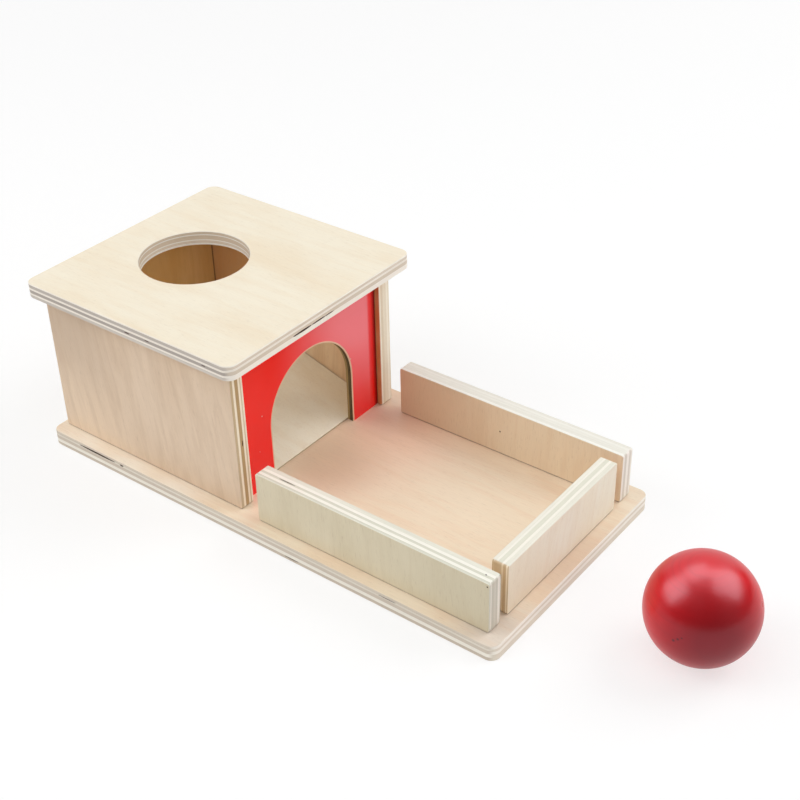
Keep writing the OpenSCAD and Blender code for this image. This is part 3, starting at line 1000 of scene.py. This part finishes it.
def lacquer():
    """Deep red lacquer over turned wood, darkened by painted shade on one side."""
    material, tree, shader = fresh_material("ball_lacquer")
    place = wire(tree, "TexCoord", {}).outputs["Object"]
    cloud = noise(tree, place, (60, 60, 60), 5.0)
    colour = blended(tree, cloud, srgb(230, 10, 22), srgb(218, 8, 18))
    # Painted shade, darkest on the side that the given direction points to.
    away = wire(tree, "VectorMath", {0: place, 1: ball_middle}, operation="SUBTRACT").outputs["Vector"]
    side = wire(tree, "VectorMath", {0: away, 1: SHADED_SIDE / ball_r}, operation="DOT_PRODUCT").outputs["Value"]
    painted_shade = spread(tree, side, 0.3, 0.95, kind="LINEAR")
    colour = blended(tree, painted_shade, colour, srgb(142, 4, 12))
    turned = noise(tree, place, (36, 36, 900), 11.0)
    colour = blended(tree, spread(tree, turned, 0.4, 0.8, 0.0, 0.2), colour, srgb(150, 2, 12))
    colour = spotted(tree, place, colour, NICKS, (70, 4, 8), 0.8)
    tree.links.new(colour, shader.inputs["Base Color"])
    shader.inputs["IOR"].default_value = LACQUER_IOR
    shader.inputs["Specular Tint"].default_value = LACQUER_SHINE
    tree.links.new(calc(tree, "MULTIPLY_ADD", cloud, 0.10, 0.24), shader.inputs["Roughness"])
    return material


ball = block("red_ball", ball_low, ball_high)
bpy.ops.object.mode_set(mode="EDIT")
bpy.ops.mesh.select_all(action="SELECT")
bpy.ops.mesh.subdivide(number_cuts=BALL_CUTS)
shaped()
for vertex in ball.data.vertices:
    vertex.co = ball_middle + (vertex.co - ball_middle).normalized() * ball_r
dents = bpy.data.textures.new("dents", "CLOUDS")
dents.noise_basis = "IMPROVED_PERLIN"
dents.noise_depth = 0
dents.noise_scale = DENT_SIZE
dents.contrast = DENT_CONTRAST
tool = ball.modifiers.new("dents", "DISPLACE")
tool.texture = dents
tool.texture_coords = "LOCAL"
tool.mid_level = 1.0
tool.strength = BALL_DENT
only(ball)
bpy.ops.object.modifier_apply(modifier=tool.name)
bpy.ops.object.shade_smooth()
ball.data.materials.append(lacquer())
stands_for(ball, "ball", body="ball")


# Floor, lamps and camera
# A white table top under three large lamps, on the left, behind on the right and above in front, and
# two weak ones. Three shine lamps and a black cloth show only in the gloss. A small lamp under the lid
# stands for the light that a bright room throws into the box.
FLOOR_REACH = 20
AMBIENT = 0.42
FLOOR_GLOW = 0.62
GLOSS_GLOW = 0.44
FLOOR_VEIL = 0.42
FLOOR_WHITE = 0.93
FLOOR_FADE = (0.45, 1.3)
LAMP_AWAY = 1.5
# The way to each from the toy, its size in metres, its power, and the rays that it is hidden from.
LAMPS = {
    "left_softbox": ((-0.60, -0.535, 0.597), 0.8, 5.15, "visible_glossy"),
    "right_softbox": ((0.455, 0.586, 0.670), 0.95, 7.2, "visible_glossy"),
    "top_softbox": ((-0.107, 0.137, 0.985), 0.5, 0.15, "visible_glossy"),
    "front_fill": ((-0.08, -0.42, 0.90), 1.3, 5.0, "visible_glossy"),
    "right_fill": ((0.95, -0.1, 0.3), 1.0, 2.35, "visible_glossy"),
    "left_shine": ((-0.675, -0.359, 0.645), 1.25, 17.0, "visible_diffuse"),
    "right_shine": ((0.465, 0.430, 0.774), 1.3, 21.0, "visible_diffuse"),
    "top_shine": ((-0.29, 0.27, 0.918), 0.95, 10.5, "visible_diffuse"),
}
# The place and the size, in millimetres, and the power.
INSIDE_LAMP = ((-62, 0, 77), 60, 0.008)
LAMP_CLEAR = math.radians(9)
DARK_AWAY = 1.35
DARK_TOP = math.radians(76)
DARK_FROM = math.radians(-190)
DARK_TO = math.radians(75)
CAMERA_PLACE = (0.33773, -0.38654, 0.38412)
CAMERA_TURN = math.radians(38.01)
CAMERA_DIP = math.radians(33.96)
CAMERA_TILT = math.radians(-1.34)
CAMERA_LENS = 63.30

toy_middle = Vector((0, 0, 30)) * MM


def aimed(away):
    """The turn of a lamp that stands in the direction away and faces the object."""
    return Vector(away).to_track_quat("Z", "Y").to_euler()


def hang_lamp(name, place, size, power, hidden, turn=(0, 0, 0)):
    """A square lamp, which shines downwards before its turn and is hidden from some kinds of ray."""
    lamp = bpy.data.lights.new(name, "AREA")
    lamp.shape = "SQUARE"
    lamp.size = size
    lamp.energy = power
    stand = bpy.data.objects.new(name, lamp)
    bpy.context.scene.collection.objects.link(stand)
    stand.location = place
    stand.rotation_euler = turn
    for kind in hidden:
        setattr(stand, kind, False)


def background_rays(tree):
    """1 for rays from the camera, the gloss or through glass, which show the background, or else 0."""
    rays = wire(tree, "LightPath", {}).outputs
    shown = calc(tree, "MAXIMUM", rays["Is Camera Ray"], rays["Is Glossy Ray"])
    return calc(tree, "MAXIMUM", shown, rays["Is Transmission Ray"])


def table_white():
    """White that the camera and the gloss see as the background, with the object's shadow on it."""
    material, tree, shader = fresh_material("table_white")
    tree.nodes.remove(shader)
    end = tree.nodes["Material Output"]
    by_camera = wire(tree, "LightPath", {}).outputs["Is Camera Ray"]
    plain = wire(tree, "BsdfDiffuse", {"Color": (FLOOR_WHITE,) * 3 + (1,)})
    veil = wire(tree, "BsdfDiffuse", {"Color": (FLOOR_VEIL,) * 3 + (1,)})
    strength = spread(tree, by_camera, 0.0, 1.0, GLOSS_GLOW, FLOOR_GLOW)
    glow = wire(tree, "Emission", {"Strength": strength})
    lit = wire(tree, "AddShader", {0: veil.outputs[0], 1: glow.outputs[0]})
    shown = background_rays(tree)
    seen = wire(tree, "MixShader", {0: shown, 1: plain.outputs[0], 2: lit.outputs[0]})
    place = wire(tree, "TexCoord", {}).outputs["Object"]
    reach = wire(tree, "VectorMath", {0: place}, operation="LENGTH").outputs["Value"]
    far = calc(tree, "MULTIPLY", spread(tree, reach, *FLOOR_FADE), by_camera)
    white = wire(tree, "Emission", {"Strength": 1.0})
    seen = wire(tree, "MixShader", {0: far, 1: seen.outputs[0], 2: white.outputs[0]})
    below = wire(tree, "NewGeometry", {}).outputs["Backfacing"]
    clear = wire(tree, "BsdfTransparent", {})
    both = wire(tree, "MixShader", {0: below, 1: seen.outputs[0], 2: clear.outputs[0]})
    tree.links.new(both.outputs[0], end.inputs["Surface"])
    return material


bpy.ops.object.select_all(action="DESELECT")
bpy.ops.mesh.primitive_plane_add(size=FLOOR_REACH)
floor = settled("floor")
floor.data.materials.append(table_white())

bpy.ops.object.select_all(action="DESELECT")
bpy.ops.mesh.primitive_uv_sphere_add(segments=72, ring_count=36, radius=DARK_AWAY, location=toy_middle)
room = settled("dark_room")


def lit(place, normal):
    """Whether this part of the room is white or holds a lamp, so that it isn't black in the gloss."""
    way = (place - toy_middle).normalized()
    turn = math.atan2(way.y, way.x)
    if turn > DARK_FROM + 2 * math.pi:
        turn -= 2 * math.pi
    at_lamp = any(
        way.angle(Vector(lamp_way)) < math.atan(size / 2 / LAMP_AWAY) + LAMP_CLEAR
        for lamp_way, size, power, hidden in LAMPS.values() if hidden != "visible_glossy")
    return way.z < 0 or way.z > math.sin(DARK_TOP) or not DARK_FROM < turn < DARK_TO or at_lamp


pick_faces(room, lit)
bpy.ops.mesh.delete(type="FACE")
shaped()
room.visible_camera = room.visible_diffuse = room.visible_shadow = room.visible_transmission = False
black, tree, shader = fresh_material("black_cloth")
shader.inputs["Base Color"].default_value = (0.01, 0.01, 0.01, 1)
shader.inputs["Roughness"].default_value = 1.0
room.data.materials.append(black)

for name, (way, size, power, hidden) in LAMPS.items():
    place = toy_middle + Vector(way).normalized() * LAMP_AWAY
    hang_lamp(name, place, size, power, [hidden], aimed(way))

place, size, power = INSIDE_LAMP
hang_lamp("inside_lamp", Vector(place) * MM, size * MM, power, ["visible_camera", "visible_glossy"])

world = bpy.data.worlds.new("studio")
bpy.context.scene.world = world
world.use_nodes = True
tree = world.node_tree
strength = spread(tree, background_rays(tree), 0.0, 1.0, AMBIENT, 1.0)
tree.links.new(strength, tree.nodes["Background"].inputs["Strength"])
tree.nodes["Background"].inputs["Color"].default_value = (1, 1, 1, 1)

view = bpy.data.cameras.new("camera")
view.lens = CAMERA_LENS
camera = bpy.data.objects.new("camera", view)
bpy.context.scene.collection.objects.link(camera)
camera.location = CAMERA_PLACE
camera.rotation_euler = (
    Matrix.Rotation(CAMERA_TURN, 3, "Z")
    @ Matrix.Rotation(math.radians(90) - CAMERA_DIP, 3, "X")
    @ Matrix.Rotation(CAMERA_TILT, 3, "Z")
).to_euler()
bpy.context.scene.camera = camera
bpy.context.scene.view_settings.view_transform = "Standard"
